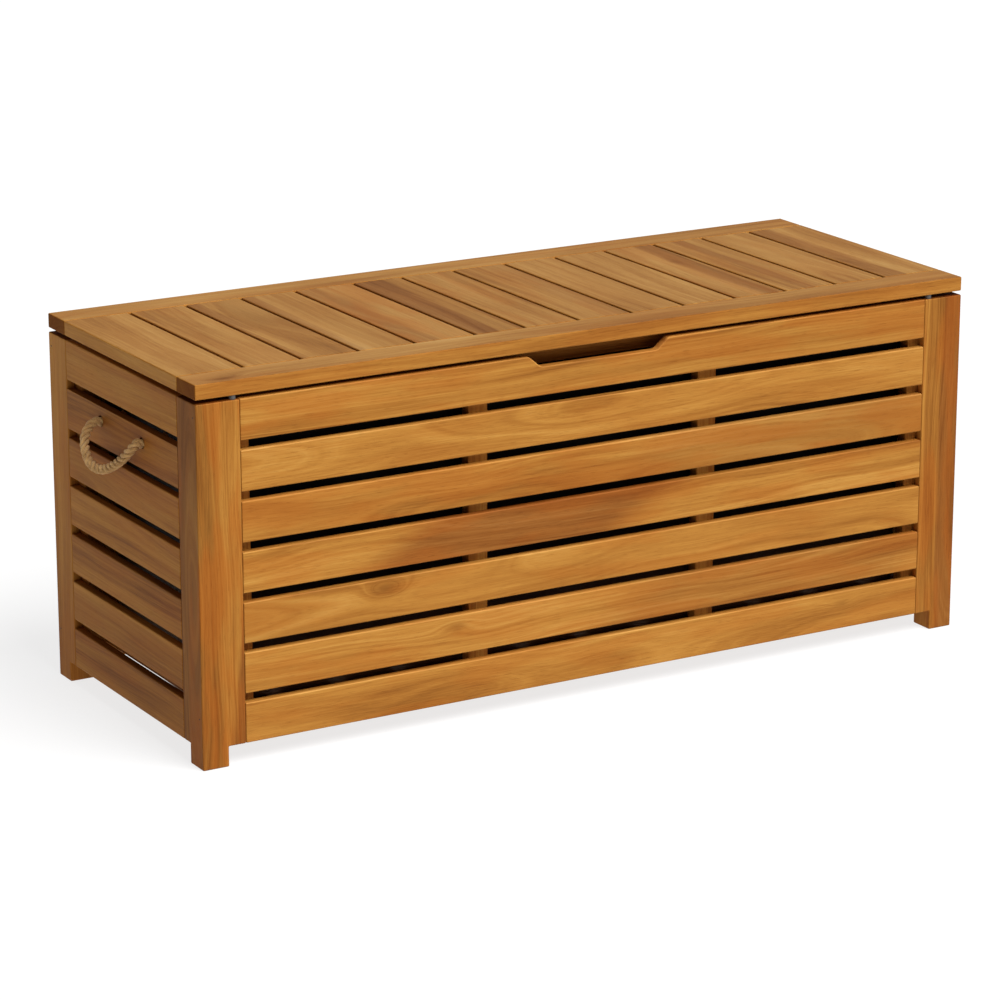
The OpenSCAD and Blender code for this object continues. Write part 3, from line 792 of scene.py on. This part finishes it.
LINER_LOW, LINER_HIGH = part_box("liner")
LINER_CORNER = 0.030
CLOTH_THICK = 0.0015
HEM_DEPTH = 0.024
HEM_EXTRA = 0.0012
LINER_STEP = 0.008
STUDS_X = (-0.570, -0.196, 0.196, 0.570)
STUD_DROP = 0.030
STUD_REACH = 0.17
HEM_SAG = 0.009
FOLD_DEPTH = 0.016
CORNER_STEPS = 8
END_WALL_FROM = 0.545
END_WALL_RUN = 0.035
END_WALL_HALF = 0.21
FOOT_IN = 0.006
FOOT_RISE = 0.04
BOTTOM_LIFT = 0.0002
BOTTOM_RIPPLE = 0.0018
BOTTOM_RINGS = 24
LAST_SHARE = 0.985
INNER_FROM = 0.003
HEM_FOLD = 0.0005


def rounded_loop(half_x, half_y, radius, step):
    """Points round a rounded rectangle with their outward directions, in order."""
    points = []
    corners = ((1, 1, 0), (-1, 1, 90), (-1, -1, 180), (1, -1, 270))
    for i, (sx, sy, start) in enumerate(corners):
        centre = Vector((sx * (half_x - radius), sy * (half_y - radius), 0))
        for k in range(CORNER_STEPS + 1):
            a = math.radians(start + 90 * k / CORNER_STEPS)
            out = Vector((math.cos(a), math.sin(a), 0))
            points.append((centre + radius * out, out))
        nx, ny, next_start = corners[(i + 1) % 4]
        a = math.radians(start + 90)
        out = Vector((math.cos(a), math.sin(a), 0))
        here = centre + radius * out
        there = Vector((nx * (half_x - radius), ny * (half_y - radius), 0)) + radius * out
        count = max(2, round((there - here).length / step))
        points += [(here.lerp(there, k / count), out) for k in range(1, count)]
    return points


def stud_slack(point):
    """How freely the cloth hangs: 0 at a press stud, 1 well away from one."""
    if abs(point.x) < STUDS_X[-1]:
        near = min(abs(point.x - x) for x in STUDS_X)
        return min(1.0, near / STUD_REACH)
    past_corner = min(1.0, (abs(point.x) - END_WALL_FROM) / END_WALL_RUN)
    return past_corner * (1 - abs(point.y) / END_WALL_HALF)


CREASES = random.Random(11)
WAVES = [
    tuple(CREASES.uniform(*limits) for limits in ((0.03, 0.10), (9, 55), (-40, 40), (0, 6.28)))
    for _ in range(9)
]
LINER_HALF_X = (LINER_HIGH.x - LINER_LOW.x) / 2
LINER_HALF_Y = (LINER_HIGH.y - LINER_LOW.y) / 2
LINER_HEIGHT = LINER_HIGH.z - LINER_LOW.z


def cloth_fold(point, out, drop):
    """How far the cloth stands in from its stretched place: drapes between the studs, and small creases."""
    run = point.x if abs(out.y) > 0.5 else point.y
    slack = stud_slack(point)
    drape = 0.5 - 0.5 * math.cos(2 * math.pi * min(1.0, (drop + 0.045 * (1 - slack)) / 0.13))
    fade = math.exp(-max(0.0, drop - 0.06) / 0.16)
    creases = sum(a * math.sin(fx * run + fz * drop + p) for a, fx, fz, p in WAVES) * (0.35 + 0.65 * slack)
    base = FOLD_DEPTH * (0.16 + 0.62 * slack * drape * fade + creases)
    pinned = min(1.0, 0.30 * slack + abs(drop - STUD_DROP) / 0.06)
    return max(0.0005, base * min(1.0, pinned + 0.05))


def liner_wall(point, out, up, inset):
    """A point on the bag's wall at a height above its bottom, inset from the outer face of the cloth."""
    fold = cloth_fold(point, out, LINER_HEIGHT - up)
    sag = HEM_SAG * stud_slack(point) * (up / LINER_HEIGHT) ** 6
    foot = min(1.0, up / FOOT_RISE)
    inwards = fold * foot + inset + FOOT_IN * (1 - foot) ** 2
    return point - out * inwards + Vector((0, 0, LINER_LOW.z + up - sag))


def liner_bottom(point, out, share, lift):
    """A point on the bag's bottom, at a share of the way from its middle to its rim."""
    rim = point - out * FOOT_IN
    ripple = 1 + math.sin(9 * rim.x * share + 3) * math.sin(13 * rim.y * share + 1)
    ripple *= BOTTOM_RIPPLE * min(1, 4 * (1 - share))
    return Vector((rim.x * share, rim.y * share, LINER_LOW.z + BOTTOM_LIFT + ripple + lift))


def liner_mesh():
    """A sewn bag: one closed shell over the bottom, up the walls, round the hem and back down inside."""
    loop = rounded_loop(LINER_HALF_X, LINER_HALF_Y, LINER_CORNER, LINER_STEP)
    rows = round(LINER_HEIGHT / LINER_STEP)
    shares = [k / BOTTOM_RINGS for k in range(1, BOTTOM_RINGS)] + [LAST_SHARE]
    ups = [LINER_HEIGHT * k / rows for k in range(rows + 1)]
    rings = [[liner_bottom(p, o, share, 0) for p, o in loop] for share in shares]
    rings += [[liner_wall(p, o, up, 0) for p, o in loop] for up in ups]
    for up in reversed(ups):
        if up < INNER_FROM:
            continue
        thick = CLOTH_THICK + (HEM_EXTRA if HEM_FOLD < LINER_HEIGHT - up < HEM_DEPTH else 0)
        rings.append([liner_wall(p, o, up, thick) for p, o in loop])
    rings += [[liner_bottom(p, o, share, CLOTH_THICK) for p, o in loop] for share in reversed(shares)]
    count = len(loop)
    verts = [point for ring in rings for point in ring]
    faces = []
    for i in range(len(rings) - 1):
        for k in range(count):
            n = (k + 1) % count
            faces.append((i * count + k, i * count + n, (i + 1) * count + n, (i + 1) * count + k))
    faces.append(tuple(reversed(range(count))))
    faces.append(tuple((len(rings) - 1) * count + k for k in range(count)))
    mesh = bpy.data.meshes.new("liner_bag")
    mesh.from_pydata(verts, [], faces)
    smooth_shade(mesh)
    return mesh


STITCH_STEP = 0.0032
STITCH_R = 0.0004
STITCH_DROPS = (0.004, HEM_DEPTH - 0.006)
# A stitch's rings: how far along it, and how thick
STITCH_RINGS = ((0, 0.5), (0.3, 1.0), (0.7, 1.0), (1, 0.5))
THREAD_SIDES = 6


def make_stitches():
    """Two rows of short stitches along the hem, on the bag's inner face."""
    loop = rounded_loop(LINER_HALF_X, LINER_HALF_Y, LINER_CORNER, STITCH_STEP)
    verts, faces = [], []
    for drop in STITCH_DROPS:
        line = [liner_wall(p, o, LINER_HEIGHT - drop, CLOTH_THICK + HEM_EXTRA) for p, o in loop]
        for k in range(0, len(line) - 1, 2):
            a, b = line[k], line[k + 1]
            out = loop[k][1]
            start = len(verts)
            for share, size in STITCH_RINGS:
                for turn in range(THREAD_SIDES):
                    angle = 2 * math.pi * turn / THREAD_SIDES
                    lift = out * math.cos(angle) + Vector((0, 0, math.sin(angle)))
                    verts.append(a.lerp(b, share) + lift * STITCH_R * size)
            end = start + (len(STITCH_RINGS) - 1) * THREAD_SIDES
            for row in range(start, end, THREAD_SIDES):
                for turn in range(THREAD_SIDES):
                    n = (turn + 1) % THREAD_SIDES
                    up = row + THREAD_SIDES
                    faces.append((row + turn, row + n, up + n, up + turn))
            faces.append(tuple(start + i for i in reversed(range(THREAD_SIDES))))
            faces.append(tuple(end + i for i in range(THREAD_SIDES)))
    mesh = bpy.data.meshes.new("liner_stitches")
    mesh.from_pydata(verts, [], faces)
    smooth_shade(mesh)
    stitches = link("liner_stitches", mesh)
    material, n, surface = new_material("thread")
    twist = n.noise(n.add("ShaderNodeTexCoord").outputs["Object"], 1800.0, 2.0, 0.5).outputs[0]
    colour = n.ramp(twist, [(0.3, (0.05, 0.05, 0.05)), (0.7, (0.12, 0.12, 0.12))])
    n.join(colour, surface.inputs["Base Color"])
    surface.inputs["Roughness"].default_value = 0.7
    put_material(stitches, material)
    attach(stitches, "box")


WEAVE_SCALE = 2600.0
# Painted light: the colour the cloth is lightened to low down, where light from the floor reaches it
# through the lower gaps
FLOOR_LIGHT_COLOUR = (0.150, 0.090, 0.055, 1)


def cloth_material():
    """Black coated cloth: a plain weave under a thin shiny coat, painted paler low down for the light from
    below.
    """
    material, n, surface = new_material("liner_cloth")
    place = n.add("ShaderNodeTexCoord").outputs["Object"]
    parts = n.add("ShaderNodeSeparateXYZ", {0: place}).outputs
    run = n.math("ADD", parts[0], parts[1])
    warp = n.math("ABSOLUTE", n.math("SINE", n.math("MULTIPLY", run, WEAVE_SCALE)))
    rise = n.math("SUBTRACT", parts[2], run)
    weft = n.math("ABSOLUTE", n.math("SINE", n.math("MULTIPLY", rise, WEAVE_SCALE)))
    weave = n.math("MULTIPLY", warp, weft)
    cloud = n.noise(place, 9.0, 4.0, 0.6).outputs[0]
    speck = n.noise(place, 420.0, 2.0, 0.6).outputs[0]
    value = n.math("MULTIPLY_ADD", cloud, 0.6, n.math("MULTIPLY", speck, 0.4))
    colour = n.ramp(value, [
        (0.30, (0.0065, 0.0062, 0.0060)),
        (0.55, (0.0120, 0.0115, 0.0110)),
        (0.80, (0.0240, 0.0225, 0.0210)),
    ])
    # Painted light: the cloth is paler low down, where light from the floor comes in through the lower gaps
    floor_light = n.math("MULTIPLY", n.smooth(parts[2], 0.27, 0.09), n.math("MULTIPLY_ADD", speck, 0.6, 0.55))
    colour = n.mix(floor_light, colour, FLOOR_LIGHT_COLOUR)
    n.join(colour, surface.inputs["Base Color"])
    n.join(n.math("MULTIPLY_ADD", cloud, 0.25, 0.36), surface.inputs["Roughness"])
    surface.inputs["Specular IOR Level"].default_value = 0.35
    height = n.math("MULTIPLY_ADD", weave, 0.6, n.math("MULTIPLY", speck, 0.5))
    bump = n.add("ShaderNodeBump", {"Height": height, "Distance": 0.0002, "Strength": 0.5})
    n.join(bump, surface.inputs["Normal"])
    return material


def make_liner():
    cloth = cloth_material()
    bag = link("liner_bag", liner_mesh())
    put_material(bag, cloth)
    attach(bag, "box")
    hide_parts("liner")
    make_stitches()
    plastic = metal_material("black_plastic", (0.016, 0.016, 0.016), 0.40, 0.0)
    put_material(NODES["liner_studs"], plastic)


make_liner()

# ---------------------------------------------------------------- stage and light

FLOOR_SIZE = 60
SUN_STRENGTH = 4.1
SUN_ANGLE = math.radians(40)
SUN_FROM = (0.24, -0.57, 0.80)
SKY_STRENGTH = 0.20
FLOOR_GLOW = 0.78
FLOOR_BASE = 0.22
# How far inside the box's outline the floor's glow starts to fade into a painted shadow, and where it ends
UNDER_BOX_SHADOW = (0.09, 0.16)


def make_stage():
    mesh = bpy.data.meshes.new("floor")
    half = FLOOR_SIZE / 2
    corners = [(-half, -half, 0), (half, -half, 0), (half, half, 0), (-half, half, 0)]
    mesh.from_pydata(corners, [], [(0, 1, 2, 3)])
    floor = link("floor", mesh)
    material, n, surface = new_material("floor")
    surface.inputs["Base Color"].default_value = (FLOOR_BASE, FLOOR_BASE, FLOOR_BASE, 1)
    surface.inputs["Roughness"].default_value = 0.9
    surface.inputs["Specular IOR Level"].default_value = 0.1
    surface.inputs["Emission Color"].default_value = (1, 1, 1, 1)
    # The floor glows evenly all round the box; under the box the glow fades out into a painted shadow
    place = n.vector("ABSOLUTE", n.add("ShaderNodeTexCoord").outputs["Object"], (0, 0, 0))
    inside = n.vector("SUBTRACT", (cad_high[0], cad_high[1], 0), place)
    inside = n.add("ShaderNodeSeparateXYZ", {0: inside}).outputs
    # Painted shadow: the glow is cut off under the box
    dark = n.smooth(n.math("MINIMUM", inside[0], inside[1]), *UNDER_BOX_SHADOW)
    glow = n.math("MULTIPLY", n.math("SUBTRACT", 1.0, dark), FLOOR_GLOW)
    n.join(glow, surface.inputs["Emission Strength"])
    put_material(floor, material)
    floor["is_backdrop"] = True


def make_light():
    sun = bpy.data.lights.new("sun", "SUN")
    sun.energy = SUN_STRENGTH
    sun.angle = SUN_ANGLE
    lamp = bpy.data.objects.new("sun", sun)
    lamp.rotation_euler = Vector(SUN_FROM).to_track_quat("Z", "Y").to_euler()
    bpy.context.scene.collection.objects.link(lamp)
    world = bpy.data.worlds.new("studio")
    world.use_nodes = True
    n = Nodes(world.node_tree)
    direction = n.add("ShaderNodeTexCoord").outputs["Generated"]
    side = n.vector("DOT_PRODUCT", direction, (0.5, 0.45, 0)).outputs["Value"]
    # The studio is brighter on the right and behind the box
    glow = n.math("MULTIPLY", n.math("ADD", side, 1.0), SKY_STRENGTH)
    backdrop = world.node_tree.nodes["Background"]
    backdrop.inputs["Color"].default_value = (1, 1, 1, 1)
    n.join(glow, backdrop.inputs["Strength"])
    bpy.context.scene.world = world
    bpy.context.scene.view_settings.view_transform = "Standard"


make_stage()
make_light()
